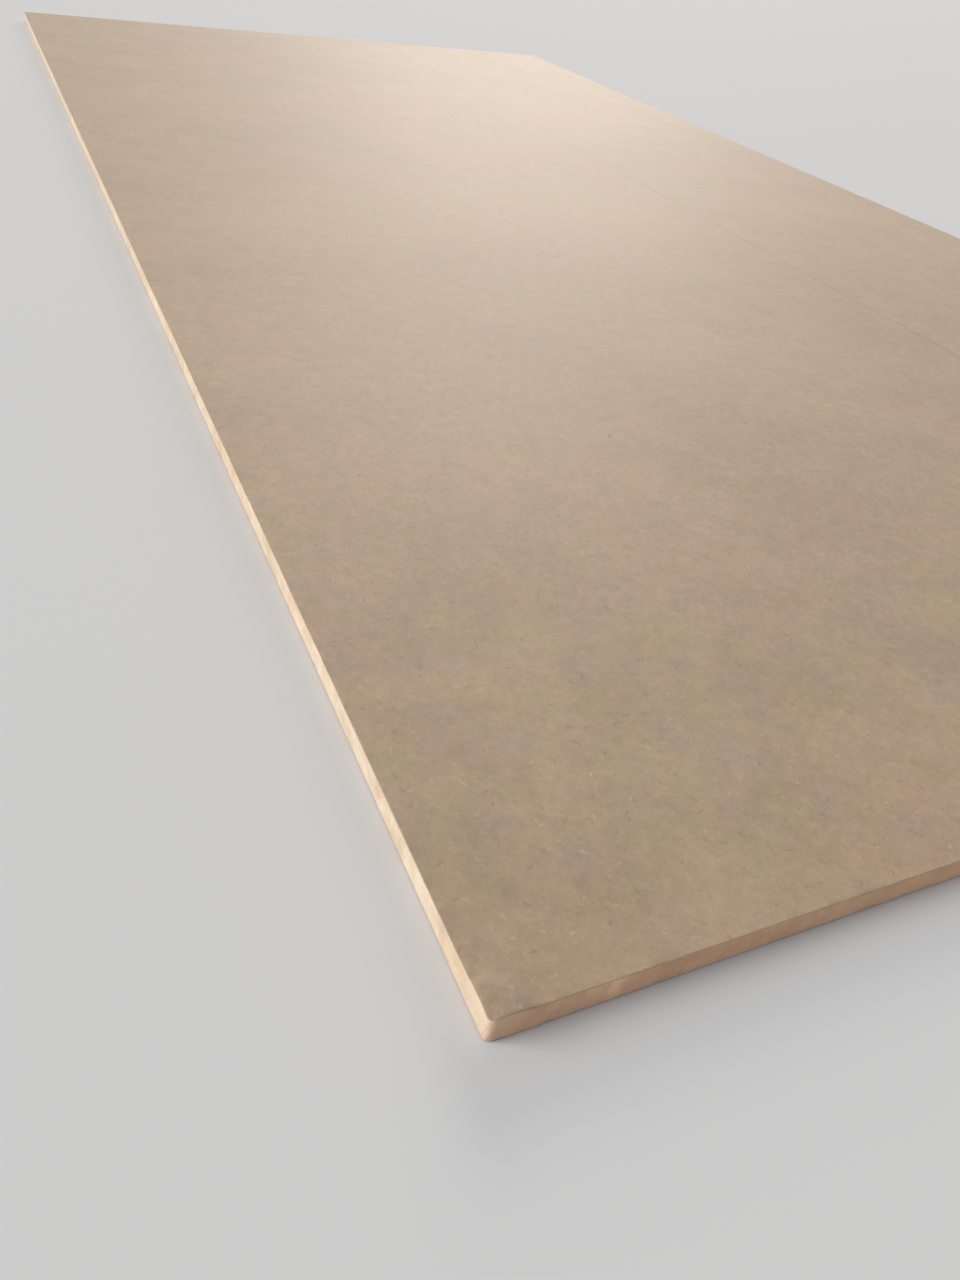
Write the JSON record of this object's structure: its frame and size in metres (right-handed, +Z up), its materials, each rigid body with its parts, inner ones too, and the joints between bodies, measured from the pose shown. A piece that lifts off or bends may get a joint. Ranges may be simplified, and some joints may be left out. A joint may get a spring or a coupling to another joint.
{
  "type": "mdf board",
  "caption": "Full-size raw medium density fibreboard sheet with square sawn edges, softened arrises and one knocked corner.",
  "frame": {"origin": "middle of the face that rests on the floor", "axes": "+X along the length away from the knocked end, +Y along the width towards the knocked corner, +Z up through the thickness"},
  "size_m": [2.44, 1.22, 0.0168],
  "materials": {
    "fibreboard": "raw sanded fibreboard, matt"
  },
  "bodies": {
    "root": {"mdf_board": "fibreboard"}
  },
  "joints": []
}
